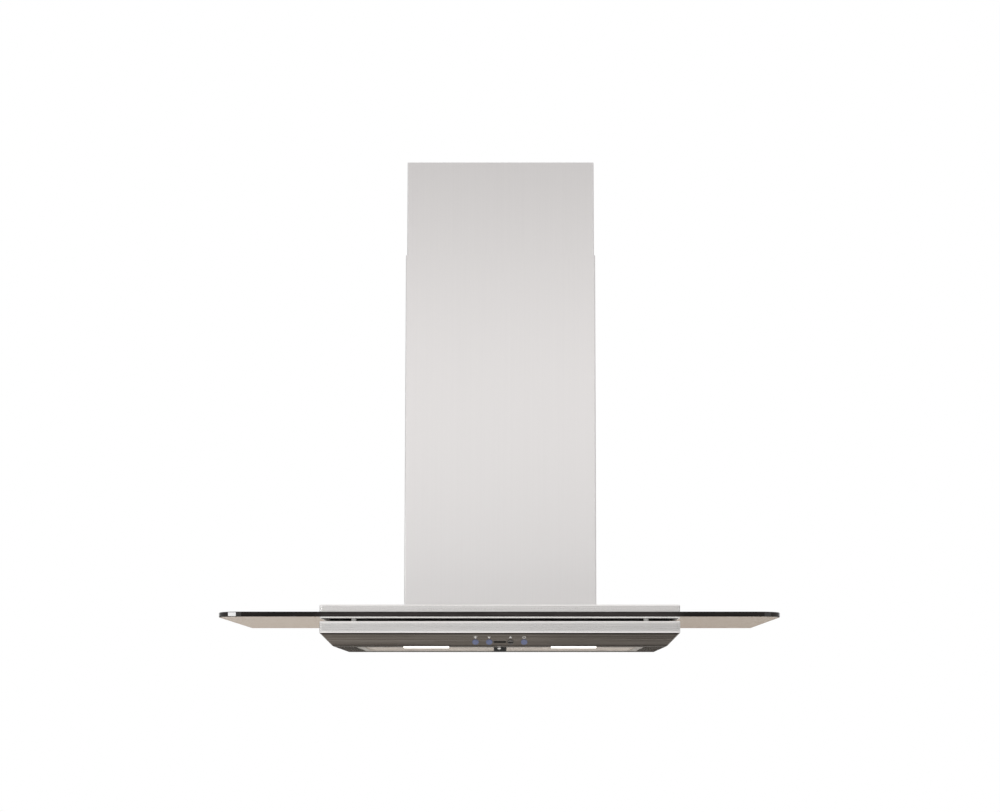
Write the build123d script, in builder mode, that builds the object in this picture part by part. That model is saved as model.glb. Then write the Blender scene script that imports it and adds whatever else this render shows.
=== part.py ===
"""Wall mount range hood: flat glass canopy, bevelled steel body and telescoping chimney.

Millimetres. The wall is the plane Y = 0 and the front faces -Y. X = 0 is the centre line,
and Z = 0 is the flat underside that hangs over the cooktop.
"""

import os

from build123d import *

os.makedirs("parts", exist_ok=True)

# Glass canopy
glass_width = 900.0
glass_depth = 500.0
glass_thickness = 8.0
glass_corner_radius = 40.0
glass_rear_radius = 4.0
glass_arris = 1.0

# Body under the glass, and the deck over it
sheet = 1.0
body_width = 592.0
body_depth = 380.0
body_corner_radius = 4.0
fold_radius = 2.0
pan_edge_radius = 3.0
band_height = 20.0
deck_height = 15.5
lip_width = 14.0
skirt_height = 21.0
skirt_inset = 0.8
skirt_run = 20.2
border_side = 35.0
border_front = 48.5
border_rear = 60.0
glass_gap = 2.0
deck_gap = 1.5
gasket_inset = 16.0
gasket_width = 10.0

# Screws that clamp the glass
clamp_front_x = 240.0
clamp_inset = 7.0
clamp_side_y = (-200.0, -40.0)
clamp_radius = 2.5
clamp_head_radius = 4.6
clamp_head_height = 3.0
clamp_nut_height = 4.0
bush_radius = 4.2
bush_wall = 1.6
screw_clearance = 0.05
glass_hole_clearance = 0.4

# Telescoping chimney covers
cover_sheet = 1.0
cover_width = 324.0
cover_depth = 280.0
cover_bend = 2.5
cover_flange = 18.0
cover_slide_gap = 0.95
lower_cover_height = 602.0
upper_cover_height = 480.0
upper_cover_shown = 162.5

# Small screws of the sheet metal
tapping_radius = 1.8
tapping_head_radius = 3.6
tapping_head_height = 2.0
tapping_length = 7.0
tapping_clearance = 0.05

# Blower chassis that hangs on the wall
chassis_sheet = 1.2
chassis_height = 277.0
chassis_flange = 14.0
chassis_side_gap = 3.5
chassis_front_gap = 12.0
chassis_window_lip = 3.0
chassis_screw_y = (-60.0, -140.0, -220.0)
pan_screw_y = (-90.0, -280.0)
pan_screw_x = 200.0
pan_screw_inset = 10.0
notch_clearance = 3.0
deck_clearance = 1.0
wall_hole_radius = 4.0
wall_hole_spacing_x = 220.0
wall_hole_spacing_z = 180.0
wall_hole_height = 190.0

# Blower scroll and wheel
scroll_gap = 8.0
scroll_wall = 2.0
volute_growth = 7.0
tongue_angle = 140.0
outlet_rise = 140.0
outlet_straight = 45.0
outlet_flange = 8.0
wheel_gap = 12.0
wheel_half = 62.0
wheel_side_gap = 8.0
blade_count = 30
blade_depth = 16.0
blade_thickness = 1.2
blade_curve = 14.0
blade_lead = 4.5
blade_tip = 1.5
wheel_ring = 5.0
wheel_ring_thickness = 3.0
wheel_disc_thickness = 2.0
hub_radius = 16.0
hub_length = 20.0
inlet_step = 2.5
inlet_flange = 12.0
inlet_lip = 6.0
inlet_wall = 1.5
inlet_clearance = 0.1

# Motor
shaft_radius = 4.0
shaft_clearance = 0.05
shaft_reach = 30.0
shaft_end_gap = 0.5
shaft_chamfer = 0.6
hub_clearance = 0.02
motor_radius = 44.0
motor_start = 14.0
motor_band_depth = 2.0
motor_band_width = 26.0
motor_edge = 4.0
bracket_thickness = 2.5
bracket_arm_width = 14.0
bracket_hub_margin = 4.0

# Duct collar and backdraught damper
collar_radius = 75.0
collar_wall = 1.5
collar_height = 60.0
collar_flange = 12.0
damper_height = 22.0
damper_thickness = 1.2
damper_gap = 1.2
damper_ledge = 3.5
damper_ledge_gap = 0.2
pin_radius = 2.0
pin_clearance = 0.05
knuckle_radius = 4.0
knuckle_gap = 0.6
knuckle_middle = 36.0
knuckle_outer = 30.0
knuckle_side_gap = 3.0

# Wiring on top of the chassis
junction_width = 40.0
junction_length = 96.0
junction_height = 44.0
junction_wall = 1.2
junction_lap = 8.0
junction_lap_gap = 0.1
bushing_radius = 11.0
bushing_bore = 6.0
bushing_length = 14.0
bushing_head = 14.0
bushing_head_length = 3.0
capacitor_radius = 15.0
capacitor_length = 58.0
clip_thickness = 1.2
clip_width = 14.0
clip_foot = 9.0
clip_gap = 0.1
wiring_margin = 4.0
capacitor_spot = -95.0

# Fascia controls
button_inner = 17.5
button_outer = 40.0
button_drop = 0.67
button_radius = 5.2
button_gap = 0.25
button_proud = 1.4
button_edge = 0.6
button_travel = 0.8
button_flange = 1.0
button_flange_thickness = 1.0
button_flange_gap = 0.2
button_floor_gap = 0.4
stem_radius = 2.0
stem_gap = 0.3
stem_poke = 1.6
display_width = 20.0
display_height = 3.6
display_proud = 0.2
display_gap = 0.15
display_seat = 1.0
carrier_thickness = 4.0
carrier_end = 15.0
carrier_up = 8.5
carrier_down = 7.5
post_radius = 2.2
post_height = 4.0
post_inset = 5.0
board_thickness = 1.6
switch_size = 6.0
switch_height = 3.6
switch_floor = 0.4

# Lamps in the front border
lamp_share = 0.4436
lamp_setback = 24.5
lens_width = 74.5
lens_depth = 28.0
lens_corner = 3.0
lens_proud = 2.0
lens_gap = 0.4
lens_flange = 3.0
lens_flange_thickness = 1.2
lamp_housing_height = 17.0
lamp_housing_wall = 1.5
lamp_housing_margin = 4.5
lamp_board_thickness = 1.6
lamp_board_gap = 0.5
driver_length = 78.0
driver_depth = 34.0
driver_height = 21.0
driver_edge = 2.0
driver_inset = 53.0

# Grease filter and its latch
filter_gap = 0.8
filter_rear_gap = 3.5
filter_height = 10.0
filter_sheet = 1.0
filter_lip = 12.0
filter_tab_width = 24.0
filter_tab_reach = 8.0
filter_tab_spot = 180.0
filter_bead_radius = 1.5
filter_bead_gap = 1.6
mesh_thickness = 1.5
mesh_columns = 10
mesh_rows = 9
mesh_web = 2.4
mesh_rim = 3.0
mesh_margin = 0.3
latch_plate_width = 60.0
latch_plate_depth = 26.0
latch_travel = 8.0
knob_width = 21.0
knob_depth = 10.0
knob_drop = 7.3
knob_air = 0.3
knob_edge = 1.5
knob_lead = 3.0
neck_width = 10.0
neck_depth = 4.0
neck_gap = 0.3
carriage_width = 18.0
carriage_height = 2.0
carriage_margin = 3.0
latch_set = 6.5
leaf_width = 14.0
leaf_thickness = 0.6
leaf_grip = 6.0
leaf_reach = 10.0
leaf_air = 0.1
leaf_slot_height = 1.2

# Upper wall bracket
bracket_sheet = 1.5
bracket_height = 32.0
bracket_drop = 24.0
bracket_jog = 9.0
bracket_side_gap = 4.0
bracket_arm = 34.0
bracket_hole_radius = 3.5
bracket_hole_spacing = 200.0
flush_head_height = 0.6

# Angle clips at the foot of the lower cover
angle_leg = 15.0
angle_length = 40.0
angle_thickness = 1.5
angle_y = -120.0

# Levels from the underside up
band_bottom = skirt_height
body_top = band_bottom + band_height
glass_bottom = body_top + glass_gap
glass_top = glass_bottom + glass_thickness
deck_bottom = glass_top + deck_gap
deck_top = deck_bottom + deck_height
lower_cover_top = deck_top + lower_cover_height
upper_cover_top = lower_cover_top + upper_cover_shown
upper_cover_bottom = upper_cover_top - upper_cover_height
chassis_top = body_top + chassis_height

# Sizes that follow from the neighbours
skirt_half = body_width / 2 - skirt_inset
skirt_front = body_depth - skirt_inset
under_half = skirt_half - skirt_run
under_front = skirt_front - skirt_run
cover_inset = cover_sheet + cover_slide_gap
upper_width = cover_width - 2 * cover_inset
upper_depth = cover_depth - cover_inset
chassis_width = upper_width - 2 * (cover_flange + chassis_side_gap)
chassis_depth = upper_depth - cover_sheet - chassis_front_gap
chassis_inner_depth = chassis_depth - 2 * chassis_sheet
volute_radius = (chassis_inner_depth - 2 * scroll_gap - 3 * volute_growth - 2 * scroll_wall) / 2
volute_rear = volute_growth / 2 + volute_radius + 2 * volute_growth
wheel_radius = volute_radius - wheel_gap
blade_inner = wheel_radius - blade_depth
inlet_radius = blade_inner - inlet_step
scroll_half = wheel_half + wheel_side_gap + scroll_wall
wheel_y = -(chassis_sheet + scroll_gap + scroll_wall + volute_rear)
wheel_z = chassis_top - chassis_sheet - outlet_rise
collar_bore = collar_radius - collar_wall
damper_z = chassis_top + damper_height
window_half = under_half - border_side
window_front = under_front - border_front
lamp_spot = under_half * lamp_share
lamp_y = -(under_front - lamp_setback)

# Places that several pieces share
button_spots = {
    "light": -button_outer,
    "slower": -button_inner,
    "faster": button_inner,
    "power": button_outer,
}
wheel_plane = Plane(origin=(0, wheel_y, wheel_z), x_dir=(0, 1, 0), z_dir=(1, 0, 0))
axis_plane = Plane(origin=(0, wheel_y, wheel_z), x_dir=(1, 0, 0), z_dir=(0, -1, 0))
wheel_axis = Axis((0, wheel_y, wheel_z), (1, 0, 0))
fascia_length = (skirt_run**2 + skirt_height**2) ** 0.5
fascia_row = -fascia_length * (button_drop - 0.5)
fascia = Plane(
    origin=(0, -(skirt_front + under_front) / 2, skirt_height / 2),
    x_dir=(1, 0, 0),
    z_dir=(0, -skirt_height, -skirt_run),
)

tapping_hole = tapping_radius + tapping_clearance
chassis_screw_x = (chassis_width + chassis_flange) / 2
chassis_spots = [(side * chassis_screw_x, y) for side in (-1, 1) for y in chassis_screw_y]
pan_spots = [(side * (body_width / 2 - pan_screw_inset), y) for side in (-1, 1) for y in pan_screw_y]
pan_spots += [(side * pan_screw_x, pan_screw_inset - body_depth) for side in (-1, 1)]
clamp_spots = [(side * clamp_front_x, clamp_inset - body_depth) for side in (-1, 1)]
clamp_spots += [(side * (body_width / 2 - clamp_inset), y) for side in (-1, 1) for y in clamp_side_y]


def save(builder, name):
    """Label the finished piece and write its STEP file."""
    builder.part.label = name
    export_step(builder.part, f"parts/{name}.step")


def wall_rectangle(width, depth, rear=0.0, mode=Mode.ADD):
    """Rectangle on the centre line, from the line y = -rear to the front line y = -depth."""
    with Locations((0, -(depth + rear) / 2)):
        Rectangle(width, depth - rear, mode=mode)


def body_outline(sketch):
    """Outline that the band and the deck share, with its front corners rounded."""
    wall_rectangle(body_width, body_depth)
    fillet(sketch.vertices().group_by(Axis.Y)[0], body_corner_radius)


def inverted_tray(bottom, height):
    """Folded steel tray, open below, with a lip turned inwards round its open side."""
    with BuildPart() as tray:
        with BuildSketch(Plane.XY.offset(bottom)) as outline:
            body_outline(outline)
        extrude(amount=height)
        folds = tray.edges().filter_by(Plane.XY)
        fillet([edge for edge in folds if edge.center().Y < -sheet], fold_radius)
        with BuildPart(mode=Mode.SUBTRACT) as hollow:
            with BuildSketch(Plane.XY.offset(bottom + sheet)) as inside:
                wall_rectangle(body_width - 2 * sheet, body_depth - sheet, rear=sheet)
                fillet(inside.vertices().group_by(Axis.Y)[0], body_corner_radius - sheet)
            extrude(amount=height - 2 * sheet)
            inner_folds = hollow.edges().filter_by(Plane.XY)
            fillet([edge for edge in inner_folds if edge.center().Y < -2 * sheet], fold_radius - sheet)
        with BuildSketch(Plane.XY.offset(bottom)):
            wall_rectangle(body_width - 2 * lip_width, body_depth - lip_width, rear=lip_width)
        extrude(amount=sheet, mode=Mode.SUBTRACT)
    return tray


def screw_group(spots, seat, head_radius, head_height, shank_radius, shank_length, way=1):
    """Separate pan head screws whose heads seat at one height and stand up (way 1) or down (-1)."""
    with BuildPart() as screws:
        with BuildSketch(Plane.XY.offset(seat)):
            with Locations(*spots):
                Circle(head_radius)
        extrude(amount=way * head_height)
        fillet(screws.edges().group_by(Axis.Z)[-1 if way > 0 else 0], head_height / 2)
        with BuildSketch(Plane.XY.offset(seat)):
            with Locations(*spots):
                Circle(shank_radius)
        extrude(amount=-way * shank_length)
    return screws


# Glass canopy, with a notch at the wall for the blower chassis
notch_half = chassis_width / 2 + chassis_flange + notch_clearance
notch_depth = chassis_depth + chassis_flange + notch_clearance
with BuildPart() as glass_canopy:
    with BuildSketch(Plane.XY.offset(glass_bottom)) as glass_outline:
        wall_rectangle(glass_width, glass_depth)
        fillet(glass_outline.vertices().group_by(Axis.Y)[0], glass_corner_radius)
        fillet(glass_outline.vertices().group_by(Axis.Y)[-1], glass_rear_radius)
        wall_rectangle(2 * notch_half, notch_depth, mode=Mode.SUBTRACT)
    extrude(amount=glass_thickness)
    chamfer(glass_canopy.faces().sort_by(Axis.Z)[0].edges(), glass_arris)
    chamfer(glass_canopy.faces().sort_by(Axis.Z)[-1].edges(), glass_arris)
    with BuildSketch(Plane.XY.offset(glass_bottom)):
        with Locations(*clamp_spots):
            Circle(bush_radius + glass_hole_clearance)
    extrude(amount=glass_thickness, mode=Mode.SUBTRACT)
save(glass_canopy, "glass_canopy")

# Light steel band under the glass, with the window through which the blower draws
band_tray = inverted_tray(band_bottom, band_height)
with BuildPart() as canopy_frame:
    add(band_tray)
    with BuildSketch(Plane.XY.offset(body_top)):
        wall_rectangle(
            chassis_width - 2 * (chassis_sheet + chassis_window_lip),
            chassis_depth - chassis_sheet - chassis_window_lip,
            rear=lip_width,
        )
        with Locations(*clamp_spots):
            Circle(clamp_radius + screw_clearance)
        with Locations(*chassis_spots):
            Circle(tapping_hole)
    extrude(amount=-sheet, mode=Mode.SUBTRACT)
    with BuildSketch(Plane.XY.offset(band_bottom)):
        with Locations(*pan_spots):
            Circle(tapping_hole)
    extrude(amount=sheet, mode=Mode.SUBTRACT)
save(canopy_frame, "canopy_frame")

# Steel deck on the glass, notched at the wall for the blower chassis
deck_tray = inverted_tray(deck_bottom, deck_height)
with BuildPart() as top_deck:
    add(deck_tray)
    with BuildSketch(Plane.XY.offset(deck_bottom)):
        wall_rectangle(chassis_width + 2 * deck_clearance, chassis_depth + deck_clearance)
    extrude(amount=deck_height, mode=Mode.SUBTRACT)
    with BuildSketch(Plane.XY.offset(deck_bottom)):
        with Locations(*clamp_spots):
            Circle(clamp_radius + screw_clearance)
    extrude(amount=sheet, mode=Mode.SUBTRACT)
save(top_deck, "top_deck")


def gasket(bottom, thickness):
    """Rubber strip along the front and both sides, set back from the edge of the body."""
    inner = gasket_inset + gasket_width
    with BuildPart() as strip:
        with BuildSketch(Plane.XY.offset(bottom)):
            wall_rectangle(body_width - 2 * gasket_inset, body_depth - gasket_inset)
            wall_rectangle(body_width - 2 * inner, body_depth - inner, mode=Mode.SUBTRACT)
        extrude(amount=thickness)
    return strip


body_gasket = gasket(body_top, glass_gap)
save(body_gasket, "body_gasket")
deck_gasket = gasket(glass_top, deck_gap)
save(deck_gasket, "deck_gasket")

# Nylon bushes that carry the glass at each clamp screw
with BuildPart() as glass_bushes:
    with BuildSketch(Plane.XY.offset(body_top)):
        with Locations(*clamp_spots):
            Circle(bush_radius)
            Circle(bush_radius - bush_wall, mode=Mode.SUBTRACT)
    extrude(amount=deck_bottom - body_top)
save(glass_bushes, "glass_bushes")

clamp_length = deck_bottom + sheet - body_top + sheet + clamp_nut_height
clamp_screws = screw_group(
    clamp_spots, deck_bottom + sheet, clamp_head_radius, clamp_head_height, clamp_radius, clamp_length
)
save(clamp_screws, "clamp_screws")

with BuildPart() as clamp_nuts:
    with BuildSketch(Plane.XY.offset(body_top - sheet)):
        with Locations(*clamp_spots):
            RegularPolygon(clamp_head_radius, 6)
            Circle(clamp_radius + screw_clearance, mode=Mode.SUBTRACT)
    extrude(amount=-clamp_nut_height)
save(clamp_nuts, "clamp_nuts")

# Bevelled skirt pan: sloped front and sides, flat border, window for the filter
lip_draw = sheet * skirt_run / skirt_height
with BuildPart() as skirt_pan:
    with BuildSketch(Plane.XY.offset(skirt_height)):
        wall_rectangle(2 * skirt_half, skirt_front)
    with BuildSketch(Plane.XY):
        wall_rectangle(2 * under_half, under_front)
    loft(ruled=True)
    pan_edges = [edge for edge in skirt_pan.edges() if edge.center().Z < skirt_height - sheet]
    fillet([edge for edge in pan_edges if edge.center().Y < -sheet], pan_edge_radius)
    offset(amount=-sheet, openings=skirt_pan.faces().sort_by(Axis.Z)[-1])
    with BuildSketch(Plane.XY.offset(skirt_height)):
        wall_rectangle(2 * (skirt_half - lip_draw), skirt_front - lip_draw)
        wall_rectangle(
            2 * (skirt_half - lip_width), skirt_front - lip_width, rear=lip_width, mode=Mode.SUBTRACT
        )
    extrude(amount=-sheet)
    with BuildSketch(Plane.XY.offset(skirt_height)):
        with Locations(*pan_spots):
            Circle(tapping_hole)
    extrude(amount=-sheet, mode=Mode.SUBTRACT)
    with BuildSketch(Plane.XY):
        wall_rectangle(2 * window_half, window_front, rear=border_rear)
        for side in (-1, 1):
            with Locations((side * lamp_spot, lamp_y)):
                RectangleRounded(
                    lens_width + 2 * lens_gap, lens_depth + 2 * lens_gap, lens_corner + lens_gap
                )
    extrude(amount=sheet, mode=Mode.SUBTRACT)
    with BuildSketch(fascia):
        with Locations(*[(x, fascia_row) for x in button_spots.values()]):
            Circle(button_radius + button_gap)
        with Locations((0, fascia_row)):
            Rectangle(display_width + 2 * display_gap, display_height + 2 * display_gap)
    extrude(amount=-sheet, mode=Mode.SUBTRACT)
save(skirt_pan, "skirt_pan")

pan_screws = screw_group(
    pan_spots,
    skirt_height - sheet,
    tapping_head_radius,
    tapping_head_height,
    tapping_radius,
    tapping_length,
    way=-1,
)
save(pan_screws, "pan_screws")


def chimney_cover(width, depth, rear, bottom, height):
    """Sheet steel channel, open at the wall, with a flange turned in along each wall edge."""
    inner_width = width - 2 * cover_sheet
    inner_depth = depth - rear - 2 * cover_sheet
    with BuildPart() as cover:
        with BuildSketch(Plane.XY.offset(bottom)):
            with Locations((0, -(depth + rear) / 2)):
                RectangleRounded(width, depth - rear, cover_bend)
                RectangleRounded(inner_width, inner_depth, cover_bend - cover_sheet, mode=Mode.SUBTRACT)
            wall_rectangle(width - 2 * cover_flange, rear + 2 * cover_sheet, rear=rear, mode=Mode.SUBTRACT)
        extrude(amount=height)
    return cover


def side_holes(y, z, radius):
    """Drill across the part along X, through both side walls."""
    with Locations(Location((0, y, z), (0, 90, 0))):
        Hole(radius)


def side_screws(y, z, half, head_height, length):
    """Two screws that point inwards, with the heads on the side walls at x = -half and x = half."""
    with BuildPart() as screws:
        for side in (-1, 1):
            with BuildSketch(Plane.YZ.offset(side * half)):
                with Locations((y, z)):
                    Circle(tapping_head_radius)
            extrude(amount=side * head_height)
            with BuildSketch(Plane.YZ.offset(side * half)):
                with Locations((y, z)):
                    Circle(tapping_radius)
            extrude(amount=-side * length)
    return screws


# Lower cover stands on the deck, held by two angle clips inside its foot
clip_screw_z = deck_top + (angle_leg + angle_thickness) / 2
lower_channel = chimney_cover(cover_width, cover_depth, 0.0, deck_top, lower_cover_height)
with BuildPart() as lower_chimney_cover:
    add(lower_channel)
    side_holes(angle_y, clip_screw_z, tapping_hole)
save(lower_chimney_cover, "lower_chimney_cover")

clip_x = cover_width / 2 - cover_sheet
with BuildPart() as chimney_clips:
    with BuildSketch(Plane.XZ.offset(-angle_y - angle_length / 2)):
        for side in (-1, 1):
            with Locations((side * (clip_x - angle_leg / 2), deck_top + angle_thickness / 2)):
                Rectangle(angle_leg, angle_thickness)
            with Locations((side * (clip_x - angle_thickness / 2), deck_top + angle_leg / 2)):
                Rectangle(angle_thickness, angle_leg)
    extrude(amount=angle_length)
    side_holes(angle_y, clip_screw_z, tapping_hole)
save(chimney_clips, "chimney_clips")

chimney_screws = side_screws(
    angle_y, clip_screw_z, cover_width / 2, tapping_head_height, tapping_length
)
save(chimney_screws, "chimney_screws")

# Upper cover slides inside the lower one and hangs on a bracket near its top
bracket_z = upper_cover_top - bracket_drop - bracket_height / 2
bracket_screw_y = -(bracket_jog + bracket_arm / 2)
upper_channel = chimney_cover(
    upper_width, upper_depth, cover_inset, upper_cover_bottom, upper_cover_height
)
with BuildPart() as upper_chimney_cover:
    add(upper_channel)
    side_holes(bracket_screw_y, bracket_z, tapping_hole)
save(upper_chimney_cover, "upper_chimney_cover")

bracket_middle = bracket_sheet / 2
bracket_back = upper_width / 2 - cover_flange - bracket_side_gap - bracket_middle
bracket_side = upper_width / 2 - cover_sheet - bracket_middle
bracket_run = [
    (bracket_side, -bracket_jog - bracket_arm),
    (bracket_side, -bracket_jog),
    (bracket_back, -bracket_jog),
    (bracket_back, -bracket_middle),
]
with BuildPart() as upper_wall_bracket:
    with BuildSketch(Plane.XY.offset(bracket_z - bracket_height / 2)):
        with BuildLine():
            Polyline(*bracket_run, *[(-x, y) for x, y in reversed(bracket_run)])
        trace(line_width=bracket_sheet)
    extrude(amount=bracket_height)
    side_holes(bracket_screw_y, bracket_z, tapping_hole)
    with BuildSketch(Plane.XZ):
        with Locations((0, bracket_z)):
            with GridLocations(bracket_hole_spacing, 1, 2, 1):
                Circle(bracket_hole_radius)
    extrude(amount=bracket_sheet, mode=Mode.SUBTRACT)
save(upper_wall_bracket, "upper_wall_bracket")

upper_cover_screws = side_screws(
    bracket_screw_y, bracket_z, upper_width / 2, flush_head_height, tapping_length
)
save(upper_cover_screws, "upper_cover_screws")

# Blower chassis: a box open below, with a foot flange, the outlet and the wall screw holes
with BuildPart() as blower_chassis:
    with BuildSketch(Plane.XY.offset(body_top)):
        wall_rectangle(chassis_width, chassis_depth)
    extrude(amount=chassis_height)
    with BuildSketch(Plane.XY.offset(body_top)):
        wall_rectangle(chassis_width + 2 * chassis_flange, chassis_depth + chassis_flange)
    extrude(amount=chassis_sheet)
    with BuildSketch(Plane.XY.offset(body_top)):
        wall_rectangle(
            chassis_width - 2 * chassis_sheet, chassis_depth - chassis_sheet, rear=chassis_sheet
        )
    extrude(amount=chassis_height - chassis_sheet, mode=Mode.SUBTRACT)
    with BuildSketch(Plane.XY.offset(chassis_top)):
        with Locations((0, wheel_y)):
            Circle(collar_bore)
    extrude(amount=-chassis_sheet, mode=Mode.SUBTRACT)
    with BuildSketch(Plane.XZ):
        with Locations((0, wall_hole_height)):
            with GridLocations(wall_hole_spacing_x, wall_hole_spacing_z, 2, 2):
                Circle(wall_hole_radius)
    extrude(amount=chassis_sheet, mode=Mode.SUBTRACT)
    with BuildSketch(Plane.XY.offset(body_top)):
        with Locations(*chassis_spots):
            Circle(tapping_hole)
    extrude(amount=chassis_sheet, mode=Mode.SUBTRACT)
save(blower_chassis, "blower_chassis")

chassis_screws = screw_group(
    chassis_spots,
    body_top + chassis_sheet,
    tapping_head_radius,
    tapping_head_height,
    tapping_radius,
    tapping_length,
)
save(chassis_screws, "chassis_screws")


def volute(wall):
    """Face of the scroll outline: three arcs of growing radius and the outlet that narrows upwards."""
    half = volute_growth / 2
    with BuildSketch() as face:
        with BuildLine():
            front = CenterArc((-half, -half), volute_radius + wall, tongue_angle, 180 - tongue_angle)
            CenterArc((half, -half), volute_radius + volute_growth + wall, 180, 90)
            rear = CenterArc((half, half), volute_radius + 2 * volute_growth + wall, 270, 90)
            Polyline(
                rear @ 1,
                (volute_rear + wall, outlet_straight),
                (collar_bore + wall, outlet_rise),
                (-collar_bore - wall, outlet_rise),
                front @ 0,
            )
        make_face()
    return face


# Moulded scroll with an inlet on each side and its outlet flange against the chassis top
outer_volute = volute(scroll_wall)
inner_volute = volute(0.0)
with BuildPart() as blower_scroll:
    with BuildSketch(wheel_plane.offset(-scroll_half)):
        add(outer_volute.sketch)
    extrude(amount=2 * scroll_half)
    with BuildSketch(Plane.XY.offset(wheel_z + outlet_rise)):
        with Locations((0, wheel_y)):
            Rectangle(
                2 * (scroll_half + outlet_flange), 2 * (collar_bore + scroll_wall + outlet_flange)
            )
    extrude(amount=-scroll_wall)
    with BuildSketch(wheel_plane.offset(scroll_wall - scroll_half)):
        add(inner_volute.sketch)
    extrude(amount=2 * (scroll_half - scroll_wall), mode=Mode.SUBTRACT)
    with BuildSketch(wheel_plane.offset(-scroll_half)):
        Circle(inlet_radius)
    extrude(amount=2 * scroll_half, mode=Mode.SUBTRACT)
save(blower_scroll, "blower_scroll")

# Bell mouth ring on the open inlet
with BuildPart() as inlet_ring:
    with BuildSketch(axis_plane):
        with BuildLine():
            Polyline(
                (-scroll_half - inlet_wall, inlet_radius + inlet_flange),
                (-scroll_half - inlet_wall, inlet_radius - inlet_wall),
                (-scroll_half + inlet_lip, inlet_radius - inlet_wall),
                (-scroll_half + inlet_lip, inlet_radius - inlet_clearance),
                (-scroll_half, inlet_radius - inlet_clearance),
                (-scroll_half, inlet_radius + inlet_flange),
                close=True,
            )
        make_face()
    revolve(axis=wheel_axis)
save(inlet_ring, "inlet_ring")

# Squirrel cage wheel: forward curved blades between two rings, a middle disc and a hub
with BuildSketch() as blade:
    with BuildLine():
        RadiusArc((blade_inner, 0), (wheel_radius - blade_tip, blade_lead), blade_curve)
    trace(line_width=blade_thickness)
with BuildPart() as blower_wheel:
    with BuildSketch(wheel_plane.offset(-wheel_half)):
        with PolarLocations(0, blade_count):
            add(blade.sketch)
    extrude(amount=2 * wheel_half)
    for start in (-wheel_half, wheel_half - wheel_ring_thickness):
        with BuildSketch(wheel_plane.offset(start)):
            Circle(wheel_radius)
            Circle(wheel_radius - wheel_ring, mode=Mode.SUBTRACT)
        extrude(amount=wheel_ring_thickness)
    with BuildSketch(wheel_plane.offset(-wheel_disc_thickness / 2)):
        Circle(wheel_radius - wheel_ring)
    extrude(amount=wheel_disc_thickness)
    with BuildSketch(wheel_plane.offset(-hub_length / 2)):
        Circle(hub_radius)
    extrude(amount=hub_length)
    with BuildSketch(wheel_plane.offset(-hub_length / 2)):
        Circle(shaft_radius + hub_clearance)
    extrude(amount=hub_length, mode=Mode.SUBTRACT)
save(blower_wheel, "blower_wheel")

with BuildPart() as motor_shaft:
    with BuildSketch(wheel_plane.offset(-hub_length / 2)):
        Circle(shaft_radius)
    extrude(amount=hub_length / 2 + motor_start + shaft_reach)
    chamfer(motor_shaft.edges().group_by(Axis.X)[0], shaft_chamfer)
save(motor_shaft, "motor_shaft")

# Motor in the wheel, with a narrower middle band, held at its outer end by the bracket
motor_length = scroll_half - motor_start
with BuildPart() as motor:
    with BuildSketch(wheel_plane.offset(motor_start)):
        Circle(motor_radius)
    extrude(amount=motor_length)
    fillet(motor.edges().group_by(Axis.X)[0], motor_edge)
    with BuildSketch(wheel_plane.offset(motor_start + (motor_length - motor_band_width) / 2)):
        Circle(motor_radius)
        Circle(motor_radius - motor_band_depth, mode=Mode.SUBTRACT)
    extrude(amount=motor_band_width, mode=Mode.SUBTRACT)
    with BuildSketch(wheel_plane.offset(motor_start)):
        Circle(shaft_radius + shaft_clearance)
    extrude(amount=shaft_reach + shaft_end_gap, mode=Mode.SUBTRACT)
save(motor, "motor")

# Three armed bracket over the other inlet
with BuildPart() as motor_bracket:
    with BuildSketch(wheel_plane.offset(scroll_half)):
        Circle(inlet_radius + inlet_flange)
        Circle(inlet_radius, mode=Mode.SUBTRACT)
        Circle(motor_radius + bracket_hub_margin)
        with PolarLocations(inlet_radius / 2, 3):
            Rectangle(inlet_radius + inlet_flange / 2, bracket_arm_width)
    extrude(amount=bracket_thickness)
save(motor_bracket, "motor_bracket")

# Screws of the bracket and of the bell mouth ring
with BuildPart() as motor_screws:
    for face, way in ((scroll_half + bracket_thickness, 1), (-scroll_half - inlet_wall, -1)):
        with BuildSketch(wheel_plane.offset(face)):
            with PolarLocations(inlet_radius + inlet_flange / 2, 3):
                Circle(tapping_head_radius)
        extrude(amount=way * tapping_head_height)
save(motor_screws, "motor_screws")

# Duct collar with its foot flange, the ledge under the flaps and the holes for the damper pin
collar_plane = Plane(origin=(0, wheel_y, chassis_top))
pin_plane = Plane(origin=(0, wheel_y, damper_z), x_dir=(0, 1, 0), z_dir=(1, 0, 0))
ledge_top = damper_height - damper_thickness / 2 - damper_ledge_gap
with BuildPart() as duct_collar:
    with BuildSketch(collar_plane):
        Circle(collar_radius)
    extrude(amount=collar_height)
    with BuildSketch(collar_plane):
        Circle(collar_radius + collar_flange)
    extrude(amount=chassis_sheet)
    with BuildSketch(collar_plane):
        Circle(collar_bore)
    extrude(amount=collar_height, mode=Mode.SUBTRACT)
    with BuildSketch(collar_plane.offset(ledge_top)):
        Circle(collar_bore)
        Circle(collar_bore - damper_ledge, mode=Mode.SUBTRACT)
    extrude(amount=-damper_thickness)
    with BuildSketch(pin_plane.offset(-collar_radius)):
        Circle(pin_radius + pin_clearance)
    extrude(amount=2 * collar_radius, mode=Mode.SUBTRACT)
save(duct_collar, "duct_collar")

with BuildPart() as damper_pin:
    with BuildSketch(pin_plane.offset(-collar_radius)):
        Circle(pin_radius)
    extrude(amount=2 * collar_radius)
save(damper_pin, "damper_pin")


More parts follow.
